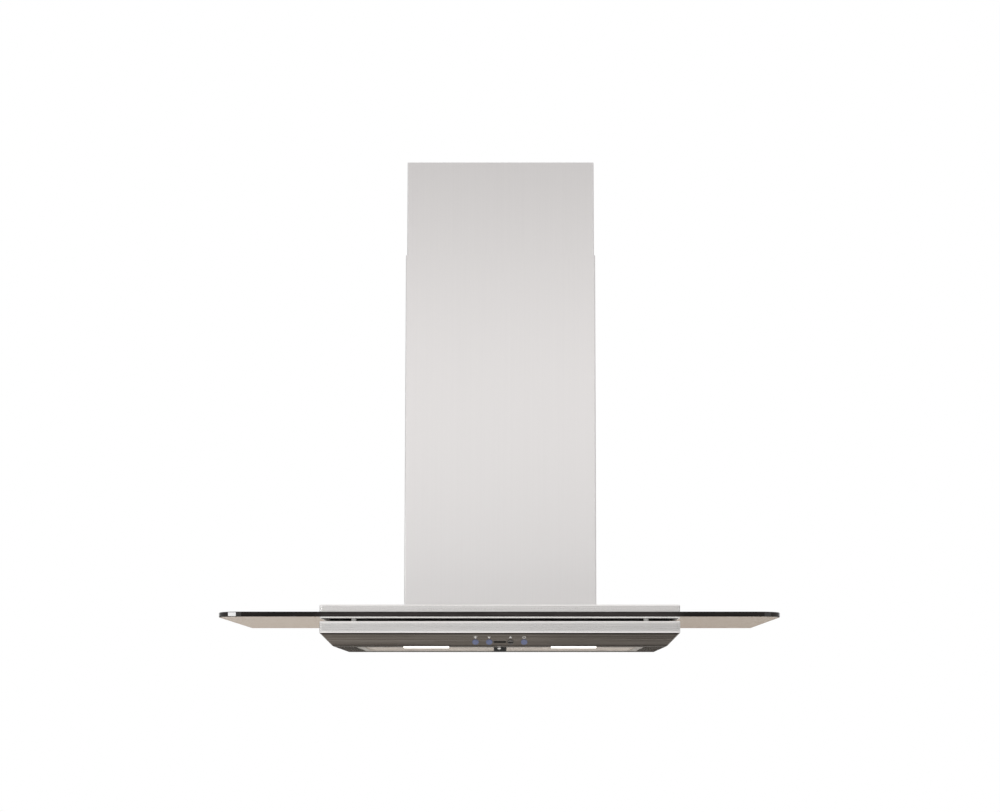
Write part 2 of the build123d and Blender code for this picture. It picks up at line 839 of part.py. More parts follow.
def damper_flap(side, spans):
    """Half round flap on the front (-1) or rear (+1) of the pin, with a knuckle over each span of X."""
    reach = knuckle_radius + knuckle_gap
    flap_radius = collar_bore - damper_gap
    with BuildPart() as flap:
        with BuildSketch(collar_plane.offset(damper_height - damper_thickness / 2)):
            Circle(flap_radius)
            with Locations((0, -side * (flap_radius - reach) / 2)):
                Rectangle(2 * flap_radius, flap_radius + reach, mode=Mode.SUBTRACT)
            for low, high in spans:
                with Locations(((low + high) / 2, side * reach / 2)):
                    Rectangle(high - low, reach)
        extrude(amount=damper_thickness)
        for low, high in spans:
            with BuildSketch(pin_plane.offset(low)):
                Circle(knuckle_radius)
            extrude(amount=high - low)
        with BuildSketch(pin_plane.offset(-flap_radius)):
            Circle(pin_radius + pin_clearance)
        extrude(amount=2 * flap_radius, mode=Mode.SUBTRACT)
    return flap


knuckle_edge = knuckle_middle / 2
outer_start = knuckle_edge + knuckle_side_gap
damper_flap_front = damper_flap(-1, [(-knuckle_edge, knuckle_edge)])
save(damper_flap_front, "damper_flap_front")
outer_spans = [(-outer_start - knuckle_outer, -outer_start), (outer_start, outer_start + knuckle_outer)]
damper_flap_rear = damper_flap(1, outer_spans)
save(damper_flap_rear, "damper_flap_rear")

# Junction box on the chassis, its lapped cover, and the bushing for the supply cable
junction_x = chassis_width / 2 - wiring_margin - junction_width / 2
junction_plane = Plane(origin=(junction_x, wheel_y, chassis_top))
junction_rear = Plane.XZ.offset(-wheel_y - junction_length / 2)
bushing_z = chassis_top + junction_height / 2
with BuildPart() as junction_box:
    with BuildSketch(junction_plane):
        Rectangle(junction_width, junction_length)
    extrude(amount=junction_height)
    with BuildSketch(junction_plane.offset(junction_wall)):
        Rectangle(junction_width - 2 * junction_wall, junction_length - 2 * junction_wall)
    extrude(amount=junction_height - junction_wall, mode=Mode.SUBTRACT)
    with BuildSketch(junction_rear):
        with Locations((junction_x, bushing_z)):
            Circle(bushing_radius + screw_clearance)
    extrude(amount=junction_wall, mode=Mode.SUBTRACT)
save(junction_box, "junction_box")

with BuildPart() as junction_cover:
    cover_grow = 2 * (junction_lap_gap + junction_wall)
    with BuildSketch(junction_plane.offset(junction_height + junction_wall)):
        Rectangle(junction_width + cover_grow, junction_length + cover_grow)
    extrude(amount=-junction_lap - junction_wall)
    with BuildSketch(junction_plane.offset(junction_height)):
        Rectangle(junction_width + 2 * junction_lap_gap, junction_length + 2 * junction_lap_gap)
    extrude(amount=-junction_lap, mode=Mode.SUBTRACT)
save(junction_cover, "junction_cover")

with BuildPart() as cable_bushing:
    with BuildSketch(junction_rear):
        with Locations((junction_x, bushing_z)):
            Circle(bushing_head)
    extrude(amount=-bushing_head_length)
    with BuildSketch(junction_rear):
        with Locations((junction_x, bushing_z)):
            Circle(bushing_radius)
    extrude(amount=bushing_length)
    with BuildSketch(junction_rear.offset(-bushing_head_length)):
        with Locations((junction_x, bushing_z)):
            Circle(bushing_bore)
    extrude(amount=bushing_head_length + bushing_length, mode=Mode.SUBTRACT)
save(cable_bushing, "cable_bushing")

# Motor capacitor on the chassis, under its strap
strap_inner = capacitor_radius + clip_gap
strap_outer = strap_inner + clip_thickness
capacitor_y = -(chassis_depth - wiring_margin - clip_foot - strap_outer)
capacitor_plane = Plane(
    origin=(capacitor_spot, capacitor_y, chassis_top + strap_inner), x_dir=(0, 1, 0), z_dir=(1, 0, 0)
)
with BuildPart() as capacitor:
    with BuildSketch(capacitor_plane.offset(-capacitor_length / 2)):
        Circle(capacitor_radius)
    extrude(amount=capacitor_length)
    fillet(capacitor.edges().group_by(Axis.X)[0], clip_thickness)
save(capacitor, "capacitor")

with BuildPart() as capacitor_clip:
    with BuildSketch(capacitor_plane.offset(-clip_width / 2)):
        Circle(strap_outer)
        with Locations((0, -strap_inner / 2)):
            Rectangle(2 * strap_outer, strap_inner)
        with Locations((0, clip_thickness / 2 - strap_inner)):
            Rectangle(2 * (strap_outer + clip_foot), clip_thickness)
        Circle(strap_inner, mode=Mode.SUBTRACT)
        with Locations((0, -strap_outer)):
            Rectangle(2 * strap_inner, 2 * strap_outer, mode=Mode.SUBTRACT)
        with Locations((0, -strap_inner - strap_outer)):
            Rectangle(4 * strap_outer, 2 * strap_outer, mode=Mode.SUBTRACT)
    extrude(amount=clip_width)
save(capacitor_clip, "capacitor_clip")

# Push buttons: a cap through the fascia, a flange that keeps it in, and a stem into its switch
flange_face = sheet + button_flange_gap
stem_end = sheet + carrier_thickness + stem_poke


def push_button(x):
    """One button at place x along the fascia."""
    with BuildPart() as button:
        with BuildSketch(fascia.offset(button_proud)):
            with Locations((x, fascia_row)):
                Circle(button_radius)
        extrude(amount=-button_proud - flange_face)
        fillet(button.faces().sort_by(Axis((0, 0, 0), fascia.z_dir))[-1].edges(), button_edge)
        with BuildSketch(fascia.offset(-flange_face)):
            with Locations((x, fascia_row)):
                Circle(button_radius + button_flange)
        extrude(amount=-button_flange_thickness)
        with BuildSketch(fascia.offset(-flange_face)):
            with Locations((x, fascia_row)):
                Circle(stem_radius)
        extrude(amount=flange_face - stem_end)
    return button


for spot_name, spot_x in button_spots.items():
    button_piece = push_button(spot_x)
    save(button_piece, f"button_{spot_name}")

with BuildPart() as display_window:
    with BuildSketch(fascia.offset(display_proud)):
        with Locations((0, fascia_row)):
            Rectangle(display_width, display_height)
    extrude(amount=-display_proud - sheet - display_seat)
save(display_window, "display_window")

# Carrier behind the fascia: guides the buttons, seats the window and holds the board on posts
button_points = [(x, fascia_row) for x in button_spots.values()]
carrier_half = max(button_spots.values()) + carrier_end
carrier_middle = fascia_row + (carrier_up - carrier_down) / 2
carrier_span = carrier_up + carrier_down
pocket_depth = button_flange_gap + button_flange_thickness + button_travel + button_floor_gap
post_spots = [
    (side * (carrier_half - post_inset), carrier_middle + end * (carrier_span / 2 - post_inset))
    for side in (-1, 1)
    for end in (-1, 1)
]
with BuildPart() as control_carrier:
    with BuildSketch(fascia.offset(-sheet)):
        with Locations((0, carrier_middle)):
            Rectangle(2 * carrier_half, carrier_span)
    extrude(amount=-carrier_thickness)
    with BuildSketch(fascia.offset(-sheet)):
        with Locations(*button_points):
            Circle(button_radius + button_flange + button_gap)
    extrude(amount=-pocket_depth, mode=Mode.SUBTRACT)
    with BuildSketch(fascia.offset(-sheet)):
        with Locations(*button_points):
            Circle(stem_radius + stem_gap)
    extrude(amount=-carrier_thickness, mode=Mode.SUBTRACT)
    with BuildSketch(fascia.offset(-sheet)):
        with Locations((0, fascia_row)):
            Rectangle(display_width + 2 * display_gap, display_height + 2 * display_gap)
    extrude(amount=-display_seat, mode=Mode.SUBTRACT)
    with BuildSketch(fascia.offset(-sheet - carrier_thickness)):
        with Locations(*post_spots):
            Circle(post_radius)
    extrude(amount=-post_height)
save(control_carrier, "control_carrier")

board_face = sheet + carrier_thickness + post_height
with BuildPart() as control_board:
    with BuildSketch(fascia.offset(-board_face)):
        with Locations((0, carrier_middle)):
            Rectangle(2 * carrier_half, carrier_span)
    extrude(amount=-board_thickness)
save(control_board, "control_board")

with BuildPart() as key_switches:
    with BuildSketch(fascia.offset(-board_face)):
        with Locations(*button_points):
            Rectangle(switch_size, switch_size)
    extrude(amount=switch_height)
    with BuildSketch(fascia.offset(-board_face + switch_floor)):
        with Locations(*button_points):
            Circle(stem_radius + stem_gap)
    extrude(amount=switch_height, mode=Mode.SUBTRACT)
save(key_switches, "key_switches")

# Lamps: lens through the border, housing over its flange, board under the roof of the housing
lamp_width = lens_width + 2 * lamp_housing_margin
lamp_depth = lens_depth + 2 * lamp_housing_margin
lamp_roof = sheet + lamp_housing_height - lamp_housing_wall
for side_name, lamp_x in (("left", -lamp_spot), ("right", lamp_spot)):
    lamp_plane = Plane(origin=(lamp_x, lamp_y, 0))
    with BuildPart() as lamp_lens:
        with BuildSketch(lamp_plane.offset(-lens_proud)):
            RectangleRounded(lens_width, lens_depth, lens_corner)
        extrude(amount=lens_proud + sheet)
        chamfer(lamp_lens.faces().sort_by(Axis.Z)[0].edges(), lens_gap)
        with BuildSketch(lamp_plane.offset(sheet)):
            RectangleRounded(lens_width + 2 * lens_flange, lens_depth + 2 * lens_flange, lens_corner)
        extrude(amount=lens_flange_thickness)
    save(lamp_lens, f"lamp_lens_{side_name}")

    with BuildPart() as lamp_housing:
        with BuildSketch(lamp_plane.offset(sheet)):
            Rectangle(lamp_width, lamp_depth)
        extrude(amount=lamp_housing_height)
        with BuildSketch(lamp_plane.offset(sheet)):
            Rectangle(lamp_width - 2 * lamp_housing_wall, lamp_depth - 2 * lamp_housing_wall)
        extrude(amount=lamp_housing_height - lamp_housing_wall, mode=Mode.SUBTRACT)
    save(lamp_housing, f"lamp_housing_{side_name}")

    board_inset = lamp_housing_wall + lamp_board_gap
    with BuildPart() as lamp_board:
        with BuildSketch(lamp_plane.offset(lamp_roof)):
            Rectangle(lamp_width - 2 * board_inset, lamp_depth - 2 * board_inset)
        extrude(amount=-lamp_board_thickness)
    save(lamp_board, f"lamp_board_{side_name}")

with BuildPart() as led_driver:
    with BuildSketch(Plane.XY.offset(sheet)):
        with Locations((driver_inset - under_half, lamp_y)):
            Rectangle(driver_length, driver_depth)
    extrude(amount=driver_height)
    fillet(led_driver.edges().filter_by(Axis.Z), driver_edge)
save(led_driver, "led_driver")

# Grease filter: channel frame, latch plate at the front, two tabs with a hinge bead at the rear
filter_half = window_half - filter_gap
filter_front = window_front - filter_gap
filter_rear = border_rear + filter_rear_gap
plate_rear = filter_front - latch_plate_depth
neck_front = filter_front - latch_set
neck_rear = neck_front - neck_depth
with BuildPart() as filter_frame:
    with BuildSketch(Plane.XY):
        wall_rectangle(2 * filter_half, filter_front, rear=filter_rear)
    extrude(amount=filter_height)
    with BuildSketch(Plane.XY.offset(filter_sheet)):
        wall_rectangle(
            2 * (filter_half - filter_sheet), filter_front - filter_sheet, rear=filter_rear + filter_sheet
        )
    extrude(amount=filter_height - 2 * filter_sheet, mode=Mode.SUBTRACT)
    with BuildSketch(Plane.XY):
        wall_rectangle(
            2 * (filter_half - filter_lip), filter_front - filter_lip, rear=filter_rear + filter_lip
        )
    extrude(amount=filter_height, mode=Mode.SUBTRACT)
    with BuildSketch(Plane.XY):
        wall_rectangle(latch_plate_width, filter_front - filter_sheet, rear=plate_rear)
    extrude(amount=filter_sheet)
    with BuildSketch(Plane.XY):
        wall_rectangle(
            neck_width + 2 * neck_gap, neck_front + neck_gap, rear=neck_rear - latch_travel - neck_gap
        )
    extrude(amount=filter_sheet, mode=Mode.SUBTRACT)
    with BuildSketch(Plane.XY.offset(filter_sheet)):
        wall_rectangle(leaf_width + 2 * neck_gap, filter_front, rear=filter_front - filter_sheet)
    extrude(amount=leaf_slot_height, mode=Mode.SUBTRACT)
    with BuildSketch(Plane.XY.offset(sheet)):
        with Locations((0, -(filter_rear + filter_sheet + border_rear - filter_tab_reach) / 2)):
            with GridLocations(2 * filter_tab_spot, 1, 2, 1):
                Rectangle(filter_tab_width, filter_rear + filter_sheet - border_rear + filter_tab_reach)
    extrude(amount=filter_sheet)
    for side in (-1, 1):
        bead_spot = (side * filter_tab_spot, -border_rear - filter_bead_gap, sheet + filter_sheet / 2)
        with Locations(bead_spot):
            Cylinder(filter_bead_radius, filter_tab_width, rotation=(0, 90, 0))
save(filter_frame, "filter_frame")

# Expanded mesh: staggered diamonds, with a plain rim round the latch
mesh_half = filter_half - filter_sheet - mesh_margin
mesh_front = filter_front - filter_sheet - mesh_margin
mesh_rear = filter_rear + filter_sheet + mesh_margin
open_half = filter_half - filter_lip
open_front = filter_front - filter_lip
open_rear = filter_rear + filter_lip
pitch_x = 2 * open_half / mesh_columns
pitch_y = (open_front - open_rear) / mesh_rows
diamond_x = pitch_x / 2 - mesh_web * pitch_x / pitch_y / 2
diamond_y = pitch_y / 2 - mesh_web / 2
diamond = [(diamond_x, 0), (0, diamond_y), (-diamond_x, 0), (0, -diamond_y)]
notch_edge = plate_rear - mesh_margin
with BuildPart() as filter_mesh:
    with BuildSketch(Plane.XY.offset(filter_sheet)):
        wall_rectangle(2 * mesh_half, mesh_front, rear=mesh_rear)
        with Locations((0, -(open_front + open_rear) / 2)):
            for columns, rows in ((mesh_columns, mesh_rows), (mesh_columns - 1, mesh_rows - 1)):
                with GridLocations(pitch_x, pitch_y, columns, rows):
                    Polygon(*diamond, align=None, mode=Mode.SUBTRACT)
        wall_rectangle(latch_plate_width + 2 * mesh_rim, mesh_front, rear=notch_edge - mesh_rim)
        wall_rectangle(latch_plate_width + 2 * mesh_margin, mesh_front, rear=notch_edge, mode=Mode.SUBTRACT)
    extrude(amount=mesh_thickness)
save(filter_mesh, "filter_mesh")

# Latch: knob under the plate, neck through its slot, carriage on top and the sprung leaf
carriage_bottom = filter_sheet + leaf_air
knob_front = neck_front + knob_lead
with BuildPart() as latch_knob:
    with BuildSketch(Plane.XY.offset(-knob_air)):
        wall_rectangle(knob_width, knob_front, rear=knob_front - knob_depth)
    extrude(amount=knob_air - knob_drop)
    fillet(latch_knob.edges().filter_by(Axis.Z), knob_edge)
    fillet(latch_knob.faces().sort_by(Axis.Z)[0].edges(), knob_edge)
    with BuildSketch(Plane.XY.offset(-knob_air)):
        wall_rectangle(neck_width, neck_front, rear=neck_rear)
    extrude(amount=knob_air + carriage_bottom)
    with BuildSketch(Plane.XY.offset(carriage_bottom)):
        wall_rectangle(carriage_width, neck_front + carriage_margin, rear=neck_rear - carriage_margin)
    extrude(amount=carriage_height)
save(latch_knob, "latch_knob")

carriage_front = -(neck_front + carriage_margin)
carriage_top = carriage_bottom + carriage_height
with BuildPart() as latch_spring:
    with BuildSketch(Plane.YZ.offset(-leaf_width / 2)):
        with BuildLine():
            Polyline(
                (carriage_front - leaf_reach, carriage_bottom),
                (carriage_front, carriage_bottom),
                (carriage_front, carriage_top),
                (carriage_front + leaf_grip, carriage_top),
                (carriage_front + leaf_grip, carriage_top + leaf_thickness),
                (carriage_front - leaf_thickness, carriage_top + leaf_thickness),
                (carriage_front - leaf_thickness, carriage_bottom + leaf_thickness),
                (carriage_front - leaf_reach, carriage_bottom + leaf_thickness),
                close=True,
            )
        make_face()
    extrude(amount=leaf_width)
save(latch_spring, "latch_spring")
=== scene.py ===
"""Looks of the wall mount range hood: finishes, filter mesh, screw heads, key signs, light and camera."""

import math

import bmesh
import bpy
from mathutils import Matrix, Vector


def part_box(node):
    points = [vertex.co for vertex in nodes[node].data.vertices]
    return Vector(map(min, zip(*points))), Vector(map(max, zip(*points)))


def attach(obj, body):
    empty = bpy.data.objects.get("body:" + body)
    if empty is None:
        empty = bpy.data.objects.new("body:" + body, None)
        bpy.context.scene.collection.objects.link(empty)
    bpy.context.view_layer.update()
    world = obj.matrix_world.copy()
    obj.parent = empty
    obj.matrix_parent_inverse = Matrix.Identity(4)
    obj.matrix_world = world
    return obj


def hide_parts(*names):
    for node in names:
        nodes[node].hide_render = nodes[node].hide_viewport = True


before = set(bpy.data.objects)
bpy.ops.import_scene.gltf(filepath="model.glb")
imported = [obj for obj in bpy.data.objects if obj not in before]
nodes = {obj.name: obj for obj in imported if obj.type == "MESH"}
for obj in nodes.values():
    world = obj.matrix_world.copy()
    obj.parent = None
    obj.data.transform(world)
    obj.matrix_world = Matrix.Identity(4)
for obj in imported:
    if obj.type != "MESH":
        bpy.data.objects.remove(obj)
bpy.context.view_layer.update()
scene = bpy.context.scene

# Node helpers for the finishes


def new_finish(name):
    """Start a finish and give back its node tree, its shader and its texture coordinates."""
    finish = bpy.data.materials.new(name)
    finish.use_nodes = True
    tree = finish.node_tree
    place = tree.nodes.new("ShaderNodeTexCoord")
    return finish, tree, tree.nodes["Principled BSDF"], place


def noise(tree, place, cycles, detail=3.0):
    """Noise with its own number of cycles per metre along X, Y and Z."""
    mapping = tree.nodes.new("ShaderNodeMapping")
    mapping.inputs["Scale"].default_value = cycles
    tree.links.new(place.outputs["Object"], mapping.inputs["Vector"])
    texture = tree.nodes.new("ShaderNodeTexNoise")
    texture.inputs["Scale"].default_value = 1.0
    texture.inputs["Detail"].default_value = detail
    tree.links.new(mapping.outputs["Vector"], texture.inputs["Vector"])
    return texture.outputs["Fac"]


def tones(tree, value, dark, light, start=0.3, end=0.7):
    """Colour that runs from dark to light as the value goes from start to end."""
    ramp = tree.nodes.new("ShaderNodeValToRGB")
    first, last = ramp.color_ramp.elements
    first.position, last.position = start, end
    first.color, last.color = (*dark, 1.0), (*light, 1.0)
    tree.links.new(value, ramp.inputs["Fac"])
    return ramp.outputs["Color"]


def spread(tree, value, low, high, start=0.3, end=0.7):
    """Number that runs from low to high as the value goes from start to end."""
    node = tree.nodes.new("ShaderNodeMapRange")
    node.inputs["From Min"].default_value = start
    node.inputs["From Max"].default_value = end
    node.inputs["To Min"].default_value = low
    node.inputs["To Max"].default_value = high
    tree.links.new(value, node.inputs["Value"])
    return node.outputs["Result"]


def math_node(tree, operation, first, second=None):
    """One step of arithmetic; the second number is a plain value or a socket."""
    node = tree.nodes.new("ShaderNodeMath")
    node.operation = operation
    tree.links.new(first, node.inputs[0])
    if isinstance(second, (int, float)):
        node.inputs[1].default_value = second
    elif second is not None:
        tree.links.new(second, node.inputs[1])
    return node.outputs[0]


def average(tree, first, second):
    """Mean of two numbers."""
    return math_node(tree, "MULTIPLY", math_node(tree, "ADD", first, second), 0.5)


def mixed(tree, share, first, second):
    """First number where share is 0, second number where it is 1."""
    node = tree.nodes.new("ShaderNodeMix")
    tree.links.new(share, node.inputs[0])
    tree.links.new(first, node.inputs[2])
    tree.links.new(second, node.inputs[3])
    return node.outputs[0]


def mixed_tones(tree, share, first, second):
    """First colour where share is 0, second colour where it is 1."""
    node = tree.nodes.new("ShaderNodeMix")
    node.data_type = "RGBA"
    tree.links.new(share, node.inputs[0])
    tree.links.new(first, node.inputs[6])
    tree.links.new(second, node.inputs[7])
    return node.outputs[2]


def axis_value(tree, vector, axis):
    """X, Y or Z of a vector."""
    split = tree.nodes.new("ShaderNodeSeparateXYZ")
    tree.links.new(vector, split.inputs[0])
    return split.outputs[axis]


def flat_share(tree, place, level):
    """1 on faces that look up or down, 0 on faces that look sideways."""
    upward = math_node(tree, "ABSOLUTE", axis_value(tree, place.outputs["Normal"], "Z"))
    return math_node(tree, "GREATER_THAN", upward, level)


def seen_share(tree):
    """1 for what the camera, metal and glass show, 0 for the light that falls on dull faces."""
    path = tree.nodes.new("ShaderNodeLightPath")
    seen = math_node(tree, "ADD", path.outputs["Is Camera Ray"], path.outputs["Is Glossy Ray"])
    seen = math_node(tree, "ADD", seen, path.outputs["Is Transmission Ray"])
    return math_node(tree, "MINIMUM", seen, 1.0)


def bump(tree, shader, height, strength, depth):
    """Relief of the given depth in metres."""
    node = tree.nodes.new("ShaderNodeBump")
    node.inputs["Strength"].default_value = strength
    node.inputs["Distance"].default_value = depth
    tree.links.new(height, node.inputs["Height"])
    tree.links.new(node.outputs["Normal"], shader.inputs["Normal"])


# Kinds of finish: depths and lengths in metres, grain, marks and flakes in cycles per metre
steel_flat_level = 0.8
brush_depth = 0.00002
flake_cycles = 130.0
dent_depth = 0.0002
pebble_depth = 0.00006
scratch_depth = 0.00003
glass_flat_level = 0.9
glass_edge_fade = 0.02
glass_index = 1.5


def brushed_steel(name, dark, light, rough, upright, flat, streaks, relief=0.12, flat_rough=None):
    """Brushed sheet: fine grain and broad streaks, with their own run on upright and on flat faces.

    The broad streaks have the share streaks of the grain's cycles. Flat faces have no relief, and a
    roughness of their own where one is given.
    """
    if flat_rough is None:
        flat_rough = rough
    finish, tree, shader, place = new_finish(name)
    lying = flat_share(tree, place, steel_flat_level)
    grain = mixed(tree, lying, noise(tree, place, upright), noise(tree, place, flat))
    broad_upright = noise(tree, place, [cycles * streaks for cycles in upright], 2.0)
    broad_flat = noise(tree, place, [cycles * streaks for cycles in flat], 2.0)
    both = average(tree, grain, mixed(tree, lying, broad_upright, broad_flat))
    tree.links.new(tones(tree, both, dark, light, start=0.36, end=0.64), shader.inputs["Base Color"])
    upright_rough = spread(tree, grain, rough - relief / 2, rough + relief / 2)
    lying_rough = spread(tree, grain, flat_rough - relief / 2, flat_rough + relief / 2)
    tree.links.new(mixed(tree, lying, upright_rough, lying_rough), shader.inputs["Roughness"])
    shader.inputs["Metallic"].default_value = 1.0
    standing_share = spread(tree, lying, 1.0, 0.0, 0.0, 1.0)
    bump(tree, shader, math_node(tree, "MULTIPLY", grain, standing_share), relief, brush_depth)
    return finish


def paint_light_on_folds(finish, sheet, width, share):
    """Paint light or shade into a finish's colour on the lowest and the highest fold of a sheet, not on
    its flat faces: a share above 1 is a painted highlight, a share below 1 is painted shade.
    """
    tree = finish.node_tree
    base = tree.nodes["Principled BSDF"].inputs["Base Color"]
    place = tree.nodes.new("ShaderNodeTexCoord")
    rise = axis_value(tree, place.outputs["Object"], "Z")
    low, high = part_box(sheet)
    upper = spread(tree, rise, 0.0, 1.0, high.z - width, high.z - width / 2)
    lower = spread(tree, rise, 1.0, 0.0, low.z + width / 2, low.z + width)
    fold = math_node(tree, "MAXIMUM", upper, lower)
    turned = math_node(tree, "SUBTRACT", fold, flat_share(tree, place, steel_flat_level))
    scaled = tree.nodes.new("ShaderNodeVectorMath")
    scaled.operation = "SCALE"
    tree.links.new(base.links[0].from_socket, scaled.inputs[0])
    tree.links.new(spread(tree, turned, 1.0, share, 0.0, 1.0), scaled.inputs["Scale"])
    tree.links.new(scaled.outputs[0], base)


def spangled_zinc(name, dark, light):
    """Galvanised sheet with its crystal flakes."""
    finish, tree, shader, place = new_finish(name)
    flakes = tree.nodes.new("ShaderNodeTexVoronoi")
    flakes.inputs["Scale"].default_value = flake_cycles
    tree.links.new(place.outputs["Object"], flakes.inputs["Vector"])
    tint = tree.nodes.new("ShaderNodeSeparateColor")
    tree.links.new(flakes.outputs["Color"], tint.inputs[0])
    flake = tint.outputs["Red"]
    clouds = noise(tree, place, (14.0, 14.0, 14.0))
    both = average(tree, flake, clouds)
    tree.links.new(tones(tree, both, dark, light, start=0.2, end=0.8), shader.inputs["Base Color"])
    rough = spread(tree, flake, low=0.34, high=0.52, start=0.0, end=1.0)
    tree.links.new(rough, shader.inputs["Roughness"])
    shader.inputs["Metallic"].default_value = 1.0
    bump(tree, shader, clouds, strength=0.1, depth=dent_depth)
    return finish


def moulded(name, dark, light, rough, grain=900.0):
    """Moulded plastic, rubber or paint: fine pebble and slow clouds of colour."""
    finish, tree, shader, place = new_finish(name)
    pebble = noise(tree, place, (grain, grain, grain), 2.0)
    clouds = noise(tree, place, (25.0, 25.0, 25.0))
    tree.links.new(tones(tree, average(tree, pebble, clouds), dark, light), shader.inputs["Base Color"])
    tree.links.new(spread(tree, pebble, rough - 0.06, rough + 0.08), shader.inputs["Roughness"])
    bump(tree, shader, pebble, strength=0.18, depth=pebble_depth)
    return finish


def bare_metal(name, dark, light, rough, grain=400.0, metallic=1.0):
    """Plain metal with small scratches and handling marks."""
    finish, tree, shader, place = new_finish(name)
    marks = noise(tree, place, (grain, grain, grain * 0.2))
    clouds = noise(tree, place, (60.0, 60.0, 60.0))
    tree.links.new(tones(tree, average(tree, marks, clouds), dark, light), shader.inputs["Base Color"])
    tree.links.new(spread(tree, marks, rough - 0.06, rough + 0.1), shader.inputs["Roughness"])
    shader.inputs["Metallic"].default_value = metallic
    bump(tree, shader, marks, strength=0.1, depth=scratch_depth)
    return finish


def clear_glass(name):
    """Clear plate whose ground edges are coloured nearly black as painted shade, and less dark over the
    body's width as painted light from the body below them.
    """
    finish, tree, shader, place = new_finish(name)
    face = flat_share(tree, place, glass_flat_level)
    smears = noise(tree, place, (7.0, 7.0, 7.0))
    edge_run = noise(tree, place, (18.0, 18.0, 240.0))
    clear = tones(tree, smears, (0.90, 0.885, 0.86), (0.97, 0.96, 0.945))
    # Painted shade on the edges, near black beyond the body and less dark over it, where painted light
    # from the body stands in.
    edge_painted_shade_beyond_body = tones(tree, edge_run, (0.003, 0.002, 0.0015), (0.014, 0.011, 0.009))
    edge_painted_light_before_body = tones(tree, edge_run, (0.016, 0.013, 0.0125), (0.042, 0.036, 0.035))
    out = math_node(tree, "ABSOLUTE", axis_value(tree, place.outputs["Object"], "X"))
    body_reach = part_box("canopy_frame")[1].x
    beyond_body_share = spread(tree, out, 0.0, 1.0, body_reach - glass_edge_fade, body_reach)
    edge = mixed_tones(tree, beyond_body_share, edge_painted_light_before_body, edge_painted_shade_beyond_body)
    tree.links.new(mixed_tones(tree, face, edge, clear), shader.inputs["Base Color"])
    tree.links.new(face, shader.inputs["Transmission Weight"])
    tree.links.new(spread(tree, smears, low=0.0, high=0.012), shader.inputs["Roughness"])
    shader.inputs["IOR"].default_value = glass_index
    return finish


def light_up(finish, colour, strength):
    """Make a finish glow evenly."""
    shader = finish.node_tree.nodes["Principled BSDF"]
    shader.inputs["Emission Color"].default_value = (*colour, 1.0)
    shader.inputs["Emission Strength"].default_value = strength


# Finishes of the hood
# Painted highlight: the canopy frame and the deck get a lighter band along their top and bottom folds.
steels_with_painted_highlight = {}
for sheet, highlight_band_width in (("canopy_frame", 0.0045), ("top_deck", 0.003)):
    steels_with_painted_highlight[sheet] = brushed_steel(
        f"light_steel_{sheet}", (0.735, 0.72, 0.71), (0.79, 0.777, 0.767), rough=0.3,
        upright=(5.0, 5.0, 1500.0), flat=(5.0, 1500.0, 5.0), streaks=0.25,
    )
    paint_light_on_folds(steels_with_painted_highlight[sheet], sheet, highlight_band_width, share=1.26)
chimney_steel = brushed_steel(
    "chimney_steel", (0.80, 0.785, 0.78), (0.815, 0.80, 0.795), rough=0.33,
    upright=(1500.0, 1500.0, 5.0), flat=(5.0, 1500.0, 5.0), streaks=0.25, relief=0.05,
)
# The skirt pan steel is a darker copy of the same stainless: its darker tone is painted shade for the dark
# the sloped fascia reflects.
dark_steel = brushed_steel(
    "dark_steel", (0.28, 0.256, 0.232), (0.46, 0.427, 0.395), rough=0.3,
    upright=(4.0, 4.0, 1100.0), flat=(4.0, 1100.0, 4.0), streaks=0.45, flat_rough=0.19,
)
# Painted shade: a dark line along the skirt's top and bottom folds.
paint_light_on_folds(dark_steel, "skirt_pan", width=0.0026, share=0.35)
# Name, dark tone, light tone, roughness, and for some the grain and the share of metal
filter_metal = bare_metal("filter_metal", (0.68, 0.64, 0.59), (0.80, 0.765, 0.72), 0.4, 400.0, 0.6)
strand_metal = bare_metal("strand_metal", (0.675, 0.615, 0.555), (0.77, 0.71, 0.65), 0.5, 900.0, 0.35)
# Pale nickel with little metal: a painted highlight for the latch button.
nickel_painted_highlight = bare_metal("nickel_painted_highlight", (0.86, 0.855, 0.845), (0.94, 0.935, 0.93), 0.3, 2000.0, 0.2)
zinc = spangled_zinc("zinc_steel", (0.46, 0.465, 0.475), (0.66, 0.665, 0.67))
screw_zinc = bare_metal("screw_steel", (0.52, 0.52, 0.51), (0.72, 0.715, 0.70), 0.25, 1500.0)
can_metal = bare_metal("capacitor_can", (0.70, 0.70, 0.70), (0.80, 0.80, 0.79), 0.3, 700.0)
black_plastic = moulded("blower_plastic", (0.022, 0.022, 0.023), (0.042, 0.042, 0.043), 0.48)
white_plastic = moulded("white_plastic", (0.74, 0.74, 0.72), (0.84, 0.84, 0.82), 0.4)
soft_rubber = moulded("soft_rubber", (0.012, 0.012, 0.012), (0.028, 0.028, 0.028), 0.7, 1600.0)
motor_paint = moulded("motor_paint", (0.02, 0.02, 0.021), (0.04, 0.04, 0.042), 0.35, 1400.0)
board_green = moulded("board", (0.012, 0.07, 0.03), (0.03, 0.12, 0.055), 0.35, 500.0)
latch_black = moulded("latch_black", (0.006, 0.006, 0.006), (0.015, 0.014, 0.014), 0.16, 1800.0)
display_black = moulded("display_black", (0.008, 0.008, 0.008), (0.016, 0.015, 0.015), 0.14, 1200.0)
lamp_white = moulded("lamp_white", (0.88, 0.87, 0.83), (0.95, 0.945, 0.92), 0.35)
light_up(lamp_white, (1.0, 0.97, 0.92), strength=1.6)
key_blue = moulded("key_blue", (0.085, 0.093, 0.13), (0.12, 0.133, 0.19), 0.32, 2200.0)
light_up(key_blue, (0.18, 0.22, 0.44), strength=0.25)
